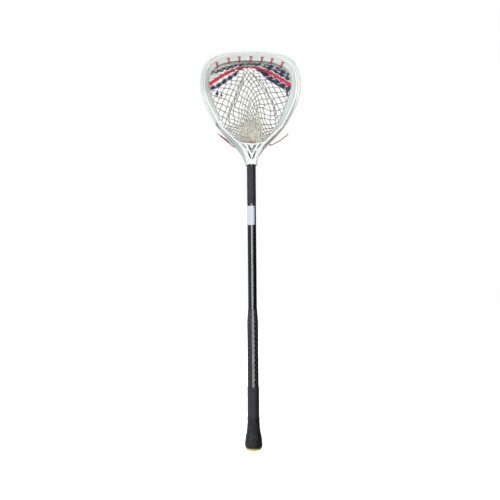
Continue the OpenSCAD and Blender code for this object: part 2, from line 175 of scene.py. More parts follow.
# ---------------- meshes

def place(name, data):
    """A new object in the scene."""
    obj = bpy.data.objects.new(name, data)
    bpy.context.scene.collection.objects.link(obj)
    return obj


def declare(obj, slot, node):
    """The piece rides on the stick and stands for node; slot is not used."""
    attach(obj, STICK)
    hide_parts(node)
    return obj


def mesh_piece(mesh, name, material, slot, node):
    mesh.polygons.foreach_set("use_smooth", [True] * len(mesh.polygons))
    mesh.materials.append(material)
    mesh.validate()
    return declare(place(name, mesh), slot, node)


class Build:
    """Collects closed solids in mm and makes one piece of them."""

    def __init__(self):
        self.verts, self.faces, self.uv, self.tone, self.count = [], [], [], [], 0

    def add(self, verts, faces, uv, tone=0.5):
        """uv has a row for each corner of the first faces, and the rest, such as end caps, share one."""
        verts = np.asarray(verts, float).reshape(-1, 3)
        corners = sum(len(f) for f in faces)
        self.verts.append(verts)
        self.faces += [tuple(i + self.count for i in f) for f in faces]
        self.uv.append(np.concatenate([uv, np.full((corners - len(uv), 2), 0.5)]))
        self.tone.append(np.broadcast_to(np.asarray(tone, float), (len(verts),)))
        self.count += len(verts)

    def piece(self, name, material, slot, node):
        mesh = bpy.data.meshes.new(name)
        mesh.from_pydata((np.concatenate(self.verts) * MM).tolist(), [], self.faces)
        mesh.uv_layers.new(name="UVMap").data.foreach_set("uv", np.concatenate(self.uv).ravel())
        tone = mesh.attributes.new("tone", "FLOAT", "POINT")
        tone.data.foreach_set("value", np.concatenate(self.tone))
        return mesh_piece(mesh, name, material, slot, node)


def grid(rows, cols, closed):
    """Faces of a grid of rows by cols points, and the row and the column of every corner."""
    span = cols if closed else cols - 1
    r, s = np.meshgrid(np.arange(rows - 1), np.arange(span), indexing="ij")
    r, s = r.ravel(), s.ravel()
    t = (s + 1) % cols
    corner_rows, corner_cols = np.stack([r, r, r + 1, r + 1], axis=1), np.stack([s, t, t, s], axis=1)
    faces = (corner_rows * cols + corner_cols).tolist()
    return faces, corner_rows.ravel(), np.stack([s, s + 1, s + 1, s], axis=1).ravel()


def skin(rings):
    """Closed solid through equal rings: points, faces, and the ring and place of every side corner."""
    rings = np.asarray(rings, float)
    n, sides = rings.shape[:2]
    faces, rows, cols = grid(n, sides, True)
    faces.append(list(range(sides))[::-1])
    faces.append(list(range((n - 1) * sides, n * sides)))
    return rings.reshape(-1, 3), faces, rows, cols


def transport(points):
    """Directions along and across a route; those across turn with it and don't twist."""
    along = unit(np.gradient(points, axis=0))
    side = np.empty_like(points)
    s = np.cross(along[0], [0.3, 0.2, 1.0])
    for i, d in enumerate(along):
        s = s - d * np.dot(s, d)
        s = s / np.linalg.norm(s)
        side[i] = s
    return along, side, np.cross(along, side)


END_OUT, END_WIDE = np.array([0.87, 0.5]), np.array([0.5, 0.87])  # rounded end's two rings, in radii


def tube(build, points, radius, sides=8, tone=0.5, rounded=True):
    """Tube along points, with rounded ends or open ones."""
    points = np.asarray(points, float)
    radius = np.broadcast_to(np.asarray(radius, float), (len(points),))
    along, side, up = transport(points)
    if rounded:
        points = np.concatenate([points[0] - along[0] * radius[0] * END_OUT[:, None], points,
                                 points[-1] + along[-1] * radius[-1] * END_OUT[::-1, None]])
        radius = np.concatenate([radius[0] * END_WIDE, radius, radius[-1] * END_WIDE[::-1]])
        side, up = (np.concatenate([d[[0, 0]], d, d[[-1, -1]]]) for d in (side, up))
    turn = ring_turn(sides)[:, None]
    ring = np.cos(turn) * side[:, None] + np.sin(turn) * up[:, None]
    verts, faces, rows, cols = skin(points[:, None] + radius[:, None, None] * ring)
    uv = np.stack([cols / sides, length_along(points)[rows] / 10], axis=1)
    build.add(verts, faces if rounded else faces[:-2], uv, tone)


def smooth_path(points, steps, turns=2):
    """A route through corner-cut points, spaced evenly."""
    p = np.asarray(points, float)
    for _ in range(turns):
        cut = np.stack([0.75 * p[:-1] + 0.25 * p[1:], 0.25 * p[:-1] + 0.75 * p[1:]], axis=1)
        p = np.concatenate([p[:1], cut.reshape(-1, 3), p[-1:]])
    d = length_along(p)
    s = np.linspace(0, d[-1], steps)
    return np.stack([np.interp(s, d, p[:, k]) for k in range(3)], axis=1)


def ellipsoid(build, centre, axes, radii, tone):
    """Closed egg shape whose first axis is its long one."""
    rings, sides = 5, 8
    v, w = np.meshgrid(np.linspace(0, np.pi, rings + 2)[1:-1], ring_turn(sides), indexing="ij")
    local = np.stack([-np.cos(v), np.sin(v) * np.cos(w), np.sin(v) * np.sin(w)], axis=-1).reshape(-1, 3)
    local = np.concatenate([local, [[-1, 0, 0], [1, 0, 0]]])
    verts = centre + local * radii @ np.array(axes)
    faces, rows, cols = grid(rings, sides, True)
    uv = np.stack([cols / sides, rows / (rings + 1)], axis=1)
    low, high, last = len(local) - 2, len(local) - 1, (rings - 1) * sides
    for k in range(sides):
        after = (k + 1) % sides
        faces += [[low, after, k], [high, last + k, last + after]]
    build.add(verts, faces, uv, tone)


def boxy(wave, power):
    """A sine or cosine made squarer, for a section with flat sides."""
    return np.sign(wave) * np.abs(wave) ** power


# ---------------- materials

class Look:
    """A Principled material and short ways to add nodes to it."""

    def __init__(self, name, colour, roughness, **sockets):
        self.mat = bpy.data.materials.new(name)
        self.mat.use_nodes = True
        self.tree = self.mat.node_tree
        self.shader = self.tree.nodes["Principled BSDF"]
        self.shader.inputs["Base Color"].default_value = (*colour, 1)
        self.shader.inputs["Roughness"].default_value = roughness
        for key, value in sockets.items():
            self.shader.inputs[key.replace("_", " ")].default_value = value
        self.coords = self.tree.nodes.new("ShaderNodeTexCoord")

    def feed(self, socket, value):
        if isinstance(value, bpy.types.NodeSocket):
            self.tree.links.new(value, socket)
        else:
            socket.default_value = value

    def node(self, kind, **inputs):
        n = self.tree.nodes.new(kind)
        for key, value in inputs.items():
            self.feed(n.inputs[key.replace("_", " ")], value)
        return n

    def noise(self, scale, detail, roughness=0.55, stretch=None):
        vector = self.coords.outputs["Object"]
        if stretch:
            vector = self.node("ShaderNodeMapping", Vector=vector, Scale=stretch).outputs["Vector"]
        n = self.node("ShaderNodeTexNoise", Scale=scale, Detail=detail, Roughness=roughness, Vector=vector)
        return n.outputs["Fac"]

    def spread(self, value, low, high, to_low=0.0, to_high=1.0):
        n = self.node("ShaderNodeMapRange", Value=value, From_Min=low, From_Max=high,
                      To_Min=to_low, To_Max=to_high)
        return n.outputs["Result"]

    def patches(self, scale, detail, low, high, roughness=0.55, stretch=None):
        """Noise stretched to 0 at its level low and 1 at its level high."""
        return self.spread(self.noise(scale, detail, roughness, stretch), low, high)

    def math(self, op, a, b=0.0):
        n = self.tree.nodes.new("ShaderNodeMath")
        n.operation = op
        self.feed(n.inputs[0], a)
        self.feed(n.inputs[1], b)
        return n.outputs[0]

    def times(self, a, b):
        return self.math("MULTIPLY", a, b)

    def mix(self, fac, a, b):
        n = self.tree.nodes.new("ShaderNodeMix")
        n.data_type = "RGBA"
        self.feed(n.inputs["Factor"], fac)
        for socket, value in ((n.inputs[6], a), (n.inputs[7], b)):
            self.feed(socket, (*value, 1) if isinstance(value, tuple) else value)
        return n.outputs[2]

    def attribute(self, name):
        n = self.tree.nodes.new("ShaderNodeAttribute")
        n.attribute_name = name
        return n.outputs["Fac"]

    def uv(self):
        n = self.node("ShaderNodeSeparateXYZ", Vector=self.coords.outputs["UV"])
        return n.outputs["X"], n.outputs["Y"]

    def paint(self, fac, a, b):
        self.feed(self.shader.inputs["Base Color"], self.mix(fac, a, b))

    def rough(self, value, at_none, at_full):
        """Roughness where value is 0 and where it is 1."""
        self.feed(self.shader.inputs["Roughness"], self.spread(value, 0, 1, at_none, at_full))

    def bump(self, height, strength, distance):
        n = self.node("ShaderNodeBump", Height=height, Strength=strength, Distance=distance)
        link = self.shader.inputs["Normal"].links
        if link:
            self.feed(n.inputs["Normal"], link[0].from_socket)
        self.feed(self.shader.inputs["Normal"], n.outputs["Normal"])


def braid(look, turns, pitch, strength, distance):
    """Crossing plait of a braided string, from the tube's own coordinates."""
    u, v = look.uv()
    around, along = look.times(u, turns * 2 * math.pi), look.times(v, pitch * 2 * math.pi)
    leans = [look.math("SINE", look.math(way, around, along)) for way in ("ADD", "SUBTRACT")]
    height = look.math("MAXIMUM", *leans)
    look.bump(height, strength, distance)
    return look.spread(height, -1, 1)


def string_look(name, dark, light):
    look = Look(name, light, 0.72, Sheen_Weight=0.25, Sheen_Roughness=0.5)
    plait = braid(look, 4, 3.0, 0.6, 0.0004)
    worn = look.patches(90, 4, 0.35, 0.7)
    look.paint(look.times(plait, look.spread(worn, 0, 1, 0.75, 1.0)), dark, light)
    look.rough(worn, 0.62, 0.84)
    return look.mat


def head_look():
    """Moulded plastic, clouded and scuffed, with painted shade where the crease attribute is high."""
    look = Look("moulded_white", (0.80, 0.83, 0.80), 0.34, Specular_IOR_Level=0.5,
                Subsurface_Weight=0.08, Subsurface_Radius=(0.004, 0.004, 0.004))
    clean = look.mix(look.patches(9, 3, 0.35, 0.65), (0.77, 0.81, 0.765), (0.81, 0.83, 0.755))
    # Painted shade: the crease attribute darkens the plastic in the grooves and along the outer edge.
    clean = look.mix(look.times(look.attribute("crease"), 0.85), clean, (0.26, 0.28, 0.25))
    scuff = look.patches(55, 6, 0.62, 0.75, 0.7, (1, 1, 3.5))
    marks = look.patches(420, 5, 0.63, 0.72, 0.7, (0.35, 0.35, 1))
    worn = look.times(scuff, marks)
    look.paint(look.times(worn, 0.7), clean, (0.46, 0.46, 0.43))
    look.rough(look.patches(40, 4, 0.3, 0.7), 0.28, 0.44)
    look.bump(look.noise(700, 2), 0.12, 0.0003)
    look.bump(worn, 0.4, 0.0003)
    return look.mat


def net_look():
    """Waxed mesh cord; the tone attribute sets how pale each strand is, partly at random and partly as
    painted light and shade.
    """
    look = Look("net_tan", (0.5, 0.46, 0.36), 0.75, Sheen_Weight=0.3, Sheen_Roughness=0.5)
    plait = braid(look, 3, 3.6, 0.7, 0.0005)
    base = look.mix(look.spread(look.attribute("tone"), 0, 2.4), (0.09, 0.083, 0.068), (1.0, 0.96, 0.80))
    soil = look.patches(24, 4, 0.4, 0.68)
    base = look.mix(look.times(soil, 0.4), base, (0.19, 0.175, 0.15))
    look.paint(look.spread(plait, 0, 1, 0.45, 0.0), base, (0.12, 0.105, 0.085))
    look.rough(look.patches(60, 3, 0.3, 0.7), 0.65, 0.85)
    return look.mat


def lace_look(name, dark, light):
    """Flat woven lace: ribs along it and threads that slant between them."""
    look = Look(name, light, 0.8, Sheen_Weight=0.35, Sheen_Roughness=0.45)
    u, v = look.uv()
    rib = look.math("ABSOLUTE", look.math("SINE", look.times(u, 9 * math.pi)))
    lean = look.math("SINE", look.math("ADD", look.times(v, 55.0), look.times(rib, 2.4)))
    weave = look.math("ADD", look.times(rib, 0.6), look.spread(lean, -1, 1, 0, 0.4))
    look.bump(weave, 0.8, 0.0005)
    fuzz = look.patches(160, 4, 0.35, 0.7)
    tone = look.times(look.spread(weave, 0, 1, 0.35, 1.0), look.spread(fuzz, 0, 1, 0.8, 1.0))
    look.paint(tone, dark, light)
    look.rough(fuzz, 0.72, 0.9)
    return look.mat


def tape_look(name, dark, light, roughness):
    """Adhesive cloth tape in a plain weave of 8 threads to the centimetre."""
    look = Look(name, light, roughness, Sheen_Weight=0.06, Sheen_Roughness=0.5, Specular_IOR_Level=0.45)
    warp, weft = (look.math("SINE", look.times(x, 8 * 2 * math.pi)) for x in look.uv())
    weave = look.times(warp, weft)
    look.bump(weave, 0.5, 0.0003)
    dust = look.patches(30, 5, 0.38, 0.7, 0.65)
    tone = look.times(look.spread(weave, -1, 1, 0.7, 1.0), look.spread(dust, 0, 1, 0.55, 1.0))
    look.paint(tone, dark, light)
    look.rough(dust, roughness - 0.1, roughness + 0.1)
    look.bump(look.noise(120, 4), 0.25, 0.0006)
    return look.mat


def shaft_look():
    look = Look("gloss_black", (0.006, 0.006, 0.007), 0.16, Specular_IOR_Level=0.5,
                Coat_Weight=0.35, Coat_Roughness=0.08)
    smudge = look.patches(14, 5, 0.35, 0.7, 0.6, (1, 1, 0.25))
    scratch = look.patches(600, 3, 0.68, 0.74, 0.6, (1, 1, 0.03))
    look.paint(look.times(scratch, 0.35), (0.004, 0.004, 0.006), (0.08, 0.08, 0.09))
    look.rough(smudge, 0.07, 0.14)
    look.bump(look.noise(60, 2), 0.006, 0.0001)
    return look.mat


def grip_look():
    """Rubber with painted light from the tone attribute: paler pads as a painted sheen and darker grooves as
    painted shade.
    """
    look = Look("grip_rubber", (0.018, 0.018, 0.020), 0.42)
    pits = look.patches(1300, 2, 0.4, 0.6)
    dust = look.patches(35, 5, 0.42, 0.72, 0.6)
    # Painted light: pads are painted paler as a painted sheen, and grooves darker as painted shade.
    pad = look.mix(look.attribute("tone"), (0.002, 0.002, 0.003), (0.038, 0.042, 0.047))
    look.paint(dust, pad, (0.024, 0.026, 0.030))
    look.rough(dust, 0.13, 0.24)
    look.bump(pits, 0.08, 0.0001)
    return look.mat


def cap_look():
    look = Look("cap_yellow", (0.52, 0.46, 0.05), 0.45)
    grime = look.patches(70, 5, 0.42, 0.68, 0.6)
    look.paint(look.times(grime, 0.6), (0.56, 0.50, 0.06), (0.25, 0.22, 0.06))
    look.rough(grime, 0.38, 0.62)
    look.bump(look.noise(500, 3), 0.15, 0.0003)
    return look.mat


def sticker_look():
    look = Look("sticker_white", (0.82, 0.82, 0.81), 0.32)
    grey = look.patches(60, 5, 0.5, 0.72, 0.7)
    look.paint(look.times(grey, 0.45), (0.66, 0.69, 0.72), (0.36, 0.38, 0.41))
    look.rough(look.patches(90, 3, 0.3, 0.7), 0.25, 0.42)
    look.bump(look.noise(260, 3), 0.08, 0.0002)
    return look.mat


def foam_look():
    look = Look("foam_grey", (0.62, 0.60, 0.48), 0.9)
    cell = look.node("ShaderNodeTexVoronoi", Scale=900.0, Vector=look.coords.outputs["Object"])
    pore = look.spread(cell.outputs["Distance"], 0.1, 0.6)
    look.paint(pore, (0.40, 0.385, 0.30), (0.66, 0.64, 0.52))
    look.rough(pore, 0.95, 0.8)
    look.bump(pore, 0.5, 0.0004)
    return look.mat


def steel_look():
    look = Look("screw_steel", (0.50, 0.50, 0.52), 0.3, Metallic=1.0)
    brushed = look.noise(900, 3, 0.6, (1, 0.1, 1))
    shine = look.spread(brushed, 0.3, 0.7)
    look.paint(shine, (0.38, 0.38, 0.40), (0.62, 0.62, 0.64))
    look.rough(shine, 0.22, 0.42)
    look.bump(brushed, 0.15, 0.0002)
    return look.mat


# ---------------- shaft, tapes, grip and cap

def octagon_radius(turn, grow, crisp):
    """Distance from the axis to the shaft's eight-sided section grown by grow; crisp sets its corners."""
    dx, dy = np.abs(np.cos(turn)), np.abs(np.sin(turn))
    half_w, half_d = SHAFT_W / 2, SHAFT_D / 2
    nx, ny = unit(np.array([half_d - SIDE_FLAT, half_w - FRONT_FLAT]))
    bevel = nx * half_w + ny * SIDE_FLAT
    total = 0
    for x, y, reach in ((1, 0, half_w), (0, 1, half_d), (nx, ny, bevel), (-nx, ny, bevel), (nx, -ny, bevel)):
        total = total + np.maximum(0, (dx * x + dy * y) / (reach + grow)) ** crisp
    return total ** (-1 / crisp)


def eased(heights, low, high, edge=1.0):
    """Heights with extra rows near both ends, so that an edge can roll over."""
    extra = [low, low + 0.15 * edge, low + 0.5 * edge, high - 0.5 * edge, high - 0.15 * edge, high]
    inner = [h for h in heights if low + edge < h < high - edge]
    return np.array(sorted(set(extra) | set(inner)))


def rolled(z, low, high, edge):
    """1 on a sleeve, falling to 0 at its two ends over a rounded edge."""
    t = np.clip(np.minimum(z - low, high - z) / edge, 0, 1)
    return np.sqrt(1 - (1 - t) ** 2)


def sleeve(names, look, heights, sides, outside, inside, tone=None):
    """Sleeve round the Z axis from inside(turn, z) to outside(turn, z); names are piece, slot and node."""
    n = len(heights)
    t, z = np.meshgrid(ring_turn(sides), np.concatenate([heights, heights[::-1], heights[:1]]))
    r = np.concatenate([outside(t[:n], z[:n]), inside(t[n:-1], z[n:-1])])
    r = np.concatenate([r, r[:1]])
    verts = np.stack([r * np.cos(t), r * np.sin(t), z], axis=-1)[:-1]
    faces, rows, cols = grid(len(r), sides, True)
    around = 2 * np.pi * r.mean() / 10
    uv = np.stack([cols / sides * around, z[rows, 0] / 10], axis=1)
    faces = (np.array(faces) % (2 * n * sides)).tolist()
    b = Build()
    b.add(verts, faces, uv, 0.5 if tone is None else tone(t, z)[:-1].reshape(-1))
    return b.piece(names[0], look, names[1], names[2])


def bore(grow, crisp):
    """Inside of a sleeve that fits the shaft's section grown by grow."""
    return lambda t, z: octagon_radius(t, grow, crisp)


def make_shaft(look):
    edge, crisp = 0.8, 46
    heights = eased(np.arange(20, 920, 10), SHAFT_LOW, SHAFT_TOP, edge)

    def outside(t, z):
        return octagon_radius(t, -0.35 * (1 - rolled(z, SHAFT_LOW, SHAFT_TOP, edge)), crisp)

    sleeve(("Shaft", "shaft_black", "shaft"), look, heights, 160, outside, bore(-SHAFT_WALL, crisp))


def spiral(t, z, pitch, lip, hand=1):
    """Height of one spirally wrapped tape's overlap, 0 to 1, with a soft step at each edge."""
    s = ((z + hand * pitch * t / (2 * np.pi)) / pitch) % 1
    return np.clip(s / lip, 0, 1) * (1 - s * 0.75)


def lumps(t, z, seed, scale_t=3, scale_z=14.0):
    """Small smooth unevenness of hand-wrapped tape: the mean of seven waves."""
    r = np.random.default_rng(seed)
    total = 0
    for _ in range(7):
        around, along = r.integers(1, scale_t + 1), r.uniform(0.6, 1.8) / scale_z
        start_t, start_z = r.uniform(0, 6.3), r.uniform(0, 6.3)
        total = total + np.sin(around * t + start_t) * np.sin(along * z * 2 + start_z)
    return total / 7


def make_upper_tape(look):
    low, high, thick = UPPER_TAPE
    edge = 0.7
    heights = eased(np.arange(low, high, 0.9), low, high, edge)

    def outside(t, z):
        wrap = 0.28 * spiral(t, z, 19, 0.05) + 0.16 * lumps(t, z, 3)
        return octagon_radius(t, np.maximum((thick - 0.25) * rolled(z, low, high, edge) + wrap, 0.05), 18)

    sleeve(("UpperTape", "tape_grey", "upper_tape"), look, heights, 112, outside, bore(-0.1, 40))


def diamonds(t, z):
    """Raised diamond pattern of the grip: 1 on a pad, 0 in the grooves between them."""
    pitch, around = 15.0, 16
    u, v = t / (2 * np.pi) * around, z / pitch * 2
    p, q = np.abs((u + v) % 2 - 1), np.abs((u - v) % 2 - 1)
    return np.clip((np.maximum(p, q) - 0.42) / 0.16, 0, 1) * np.clip((1.16 - np.abs(p - q)) / 0.1, 0, 1)


def make_grip(look):
    """Sleeve with raised pads on its side and slanted facets, only faint ones on its front and back facets,
    and plain under the tape.
    """
    low, high, taper_low = SLEEVE_LOW, SLEEVE_TOP, SLEEVE_TOP - SLEEVE_TAPER
    pads_low, plain_side = 184, 0.27
    rows = np.concatenate([np.arange(16, pads_low, 12), np.arange(pads_low, high, 0.75)])

    def outside(t, z):
        thick = SLEEVE_T + (0.5 - SLEEVE_T) * np.maximum(z - taper_low, 0) / SLEEVE_TAPER
        shown = np.clip((z - pads_low - 2) / 4, 0, 1) * np.clip((high - 3 - z) / 4, 0, 1)
        shown = shown * (1 - 0.85 * (np.abs(np.cos(t)) < plain_side))
        g = thick - 0.5 * shown * (1 - diamonds(t, z)) * np.clip(thick - 0.4, 0, 1)
        return octagon_radius(t, g - 0.4 * (1 - rolled(z, low, high, 1.0)) * (z > 300), 34)

    # Painted light: tone is 1 on a pad (painted sheen), 0 in the grooves (painted shade) and 0.3 on the plain
    # parts.
    def tone(t, z):
        return np.where((z > pads_low) & (np.abs(np.cos(t)) > plain_side), diamonds(t, z), 0.3)

    sleeve(("GripSleeve", "grip_black", "grip_sleeve"), look, eased(rows, low, high), 160,
           outside, bore(-0.05, 40), tone)


def make_lower_tape(look):
    """Tape over the sleeve's lower end; the knob's tape hides its plain part."""
    low, high, seen_low, edge = SLEEVE_LOW, LOWER_TAPE_TOP, 96, 0.9
    rows = np.concatenate([np.arange(20, seen_low, 8), np.arange(seen_low, high, 0.9)])

    def outside(t, z):
        shown = np.clip((z - seen_low) / 6, 0, 1)
        wrap = 0.42 * spiral(t, z, 21, 0.05, -1) + 0.3 * lumps(t, z, 8)
        g = SLEEVE_T + (LOWER_TAPE_T - 0.35) * rolled(z, low, high, edge) + shown * wrap
        return octagon_radius(t, g, 22)

    sleeve(("LowerTape", "tape_grey", "lower_tape"), look, eased(rows, low, high, edge), 128,
           outside, bore(SLEEVE_T - 0.3, 30))


KNOB_PROFILE = np.array([  # height and radius
    [6.6, 25.2], [9.5, 26.8], [15, 27.2], [23, 26.7], [34, 25.5],
    [44, 23.7], [60, 21.6], [84, 19.4], [100, 18.6]])


def make_knob(look):
    """Taped knob, round below and eight-sided like the shaft at its neck."""
    low, high = KNOB_PROFILE[0, 0], KNOB_PROFILE[-1, 0]
    under = SLEEVE_T + LOWER_TAPE_T

    def outside(t, z):
        base = np.maximum(np.interp(z, *KNOB_PROFILE.T), octagon_radius(t, under + 0.85, 26))
        last_turn = np.tanh((z - 47.5 - 1.2 * np.sin(t + 0.8)) / -0.5)
        wave = 0.3 * lumps(t, z, 21, 4, 9.0) + 0.4 * (spiral(t, z, 24, 0.04) - 0.5) + 0.4 * last_turn
        edge = 0.6 * (1 - rolled(z, low, high, 1.6))
        return base + wave * np.clip((104 - z) / 30, 0.25, 1) - edge - 0.2

    def inside(t, z):
        return np.where(z < SLEEVE_LOW, 22.05, octagon_radius(t, under - 0.3, 30))

    sleeve(("KnobTape", "knob_tape", "knob_tape"), look, eased(np.arange(low, high, 0.8), low, high), 144,
           outside, inside)


def make_cap(look):
    """End cap: a grooved face, a rounded rim and a stepped plug, turned round the Z axis."""
    profile = np.array([
        (0.02, 1.1), (5.6, 1.1), (6.3, 0.9), (7.0, 0.35), (7.6, 0), (15.5, 0), (16.2, 0.25),
        (16.8, 0.7), (17.6, 0.7), (18.2, 0.25), (18.9, 0), (21, 0), (22.3, 0.25), (23.3, 0.9),
        (24, 1.9), (24.6, 2.8), (24.9, 3.8), (24.8, 5.4), (24.4, 6.2), (22.3, 6.4), (21.9, 6.7),
        (21.8, 11.4), (21.3, 11.9), (11, 11.9), (10.6, 13), (10.6, 46.5), (9.6, 47.9), (0.02, 48)])
    sides = 128
    t, r = np.meshgrid(ring_turn(sides), profile[:, 0])
    z = np.broadcast_to(profile[:, 1:], r.shape)
    faces, rows, cols = grid(len(profile), sides, True)
    uv = np.stack([cols / sides * 12, length_along(profile)[rows] / 10], axis=1)
    b = Build()
    b.add(np.stack([r * np.cos(t), r * np.sin(t), z], axis=-1), faces, uv)
    b.piece("EndCap", look, "cap_yellow", "end_cap")


def make_sticker(look):
    """Blank label bent round the front facets, a hair proud of the shaft; its corners lift and draw in."""
    low, high, thick = STICKER
    cols, rows, right, lift = 90, 40, 11.0, 0.06
    turn = np.linspace(math.radians(180), math.radians(310), 1200)
    r = octagon_radius(turn, lift, 46)
    path = np.stack([r * np.cos(turn), r * np.sin(turn)], axis=1)
    path = path[:np.searchsorted(path[:, 0], right)]
    run = length_along(path)
    at = np.linspace(0, run[-1], cols)
    px, py = (np.interp(at, run, path[:, k]) for k in (0, 1))
    nx, ny = unit(np.stack([px / SHAFT_W ** 1.2, py / SHAFT_D ** 1.2], axis=1)).T
    s, h = np.meshgrid(np.linspace(-1, 1, cols), np.linspace(-1, 1, rows))
    past_s, past_h = np.clip(np.abs(s) - 0.9, 0, 1) * 10, np.clip(np.abs(h) - 0.95, 0, 1) * 20
    corner = np.clip(np.hypot(past_s, past_h) - 0.55, 0, 1)
    ripple = 0.05 * np.abs(np.sin(h * 5 + s * 3)) * np.clip((np.abs(s) - 0.8) * 5, 0, 1)
    out = 0.02 + ripple + 0.16 * corner + thick * 0.5
    front = np.stack([px + nx * out, py + ny * out,
                      (low + high) / 2 + h * (1 - 0.02 * corner) * (high - low) / 2], axis=-1)
    back = front - 0.16 * np.stack([nx, ny, 0 * nx], axis=-1)
    n = rows * cols
    faces, corner_rows, corner_cols = grid(rows, cols, False)
    uv = np.stack([at[corner_cols], np.linspace(low, high, rows)[corner_rows]], axis=1) / 10
    rear = [[n + i for i in f[::-1]] for f in faces]
    index = np.arange(n).reshape(rows, cols)
    rim = np.concatenate([index[:-1, 0], index[-1, :-1], index[:0:-1, -1], index[0, :0:-1]]).tolist()
    edges = [[a, c, c + n, a + n] for a, c in zip(rim, rim[1:] + rim[:1])]
    verts = np.concatenate([front, back]).reshape(-1, 3)
    b = Build()
    b.add(verts, faces + rear + edges, np.concatenate([uv, uv]))
    b.piece("Sticker", look, "sticker_white", "sticker")


# ---------------- the moulded head

BEAD_TURN = np.radians([-70, -35, 0, 35, 70])
BEAD_PROFILE = [  # steps from a wall's edge: inwards in bead radii, then out in bead radii and in webs
    (2.3, 0, -0.5), (1.7, -0.45, -0.3),
    *((0.55 - 0.95 * math.cos(k), math.sin(k), 0) for k in BEAD_TURN),
    (1.7, 0.45, 0.3), (2.3, 0, 0.5)]
PLAIN_BEAD = BEAD_T - 1
HEAD_VOXEL = 1.35


def band(low, high, last, steps):
    """Wall between two rails, with a bead at each edge; the ridge's bead fades out over the scoop."""
    u = np.linspace(-last, last, 2 * steps + 1)
    ridge_bead = np.interp(np.abs(u), [0.55, 1.1], [WALL_T + 0.6, BEAD_T])[:, None]
    a, b = rail(low, u), rail(high, u)
    across = unit(b - a)
    span = np.linalg.norm(b - a, axis=1, keepdims=True)
    out = unit(np.cross(rail_dir(high, u), across))
    ring = []
    for edge, line, inward, profile in ((a, low, across, BEAD_PROFILE),
                                        (b, high, -across, BEAD_PROFILE[::-1])):
        r = np.minimum((ridge_bead if line is RIDGE else PLAIN_BEAD) / 2, span / 4)
        ring += [edge + inward * r * i + out * (r * o + WALL_T * w) for i, o, w in profile]
    return skin(np.stack(ring, axis=1))[:2]


def prism(outline, front, back):
    """Solid between two depths over an outline in X and Z."""
    x, z = np.asarray(outline, float).T
    n = len(x)
    verts = np.concatenate([np.stack([x, 0 * x + y, z], axis=1) for y in (front, back)])
    turn = 1 if np.sum(x * np.roll(z, -1) - np.roll(x, -1) * z) > 0 else -1
    faces = [list(range(n))[::turn], list(range(n, 2 * n))[::-turn]]
    faces += [[i, i + n, (i + 1) % n + n, (i + 1) % n][::turn] for i in range(n)]
    return verts, faces


def column(grow, crisp, low, high):
    """Solid with the shaft's section grown by grow."""
    turn = ring_turn(96)
    r = octagon_radius(turn, grow, crisp)
    return skin([np.stack([r * np.cos(turn), r * np.sin(turn), 0 * r + z], axis=1) for z in (low, high)])[:2]


def raw_object(parts):
    verts, faces, count = [], [], 0
    for v, f in parts:
        verts.append(v)
        faces += [[i + count for i in q] for q in f]
        count += len(v)
    mesh = bpy.data.meshes.new("raw")
    mesh.from_pydata((np.concatenate(verts) * MM).tolist(), [], faces)
    bm = bmesh.new()
    bm.from_mesh(mesh)
    bmesh.ops.recalc_face_normals(bm, faces=bm.faces)
    bm.to_mesh(mesh)
    bm.free()
    return place("raw", mesh)


def applied(obj):
    """A new object with the modifiers of the old one in its mesh; the old one is removed."""
    mesh = bpy.data.meshes.new_from_object(obj.evaluated_get(bpy.context.evaluated_depsgraph_get()))
    bpy.data.objects.remove(obj)
    return place("applied", mesh)


def carve(obj, solid):
    cutter = raw_object([solid])
    m = obj.modifiers.new("carve", "BOOLEAN")
    m.operation, m.object, m.solver = "DIFFERENCE", cutter, "EXACT"
    obj = applied(obj)
    bpy.data.objects.remove(cutter)
    return obj


def arc_points(radius, half_width, n):
    x = np.linspace(-half_width, half_width, n)
    return np.stack([x, arc_z(x, radius)], axis=1)


def throat_outline(p, top_u, low):
    """Front or back plate of the throat: along rail p on both sides, and the ball stop's arc at the top."""
    q = rail(p, np.linspace(4, top_u, 24))
    right = q[q[:, 2] >= low - 1e-6][:, [0, 2]]
    arc = arc_points(ARC_R + 0.5, min(right[-1][0], 60), 40)[::-1]
    arc = arc[arc[:, 1] < right[-1][1] + 6]
    return np.concatenate([right, arc, right[::-1] * [-1, 1]])


def slot_outline(start, end, width):
    """Slot with round ends, narrower at its end than at its start."""
    start, end = np.array(start, float), np.array(end, float)
    along = unit(end - start) * width / 2
    side = np.array([along[1], -along[0]])
    turn = np.linspace(0, np.pi, 7)
    return np.array([end + 0.7 * (side * math.cos(k) + along * math.sin(k)) for k in turn]
                    + [start - side * math.cos(k) - along * math.sin(k) for k in turn])


def head_solids():
    """Walls, throat plates, the arc under the ball and the socket."""
    arc = np.concatenate([arc_points(ARC_R, 49, 60), arc_points(ARC_R + PLATE_T, 49, 60)[::-1]])
    return [band(RIDGE, OUTER, 4, 150), band(INNER, RIDGE, 3, 120),
            prism(throat_outline(RIDGE, 2.9, SOCKET_LOW), THROAT_FRONT, THROAT_FRONT + PLATE_T),
            prism(throat_outline(OUTER, 3.02, 915), THROAT_BACK - PLATE_T - 2, THROAT_BACK - 2),
            prism(arc, THROAT_FRONT, THROAT_BACK),
            column(SOCKET_WALL + 0.1, 16, SOCKET_LOW, SHAFT_TOP + 4)]


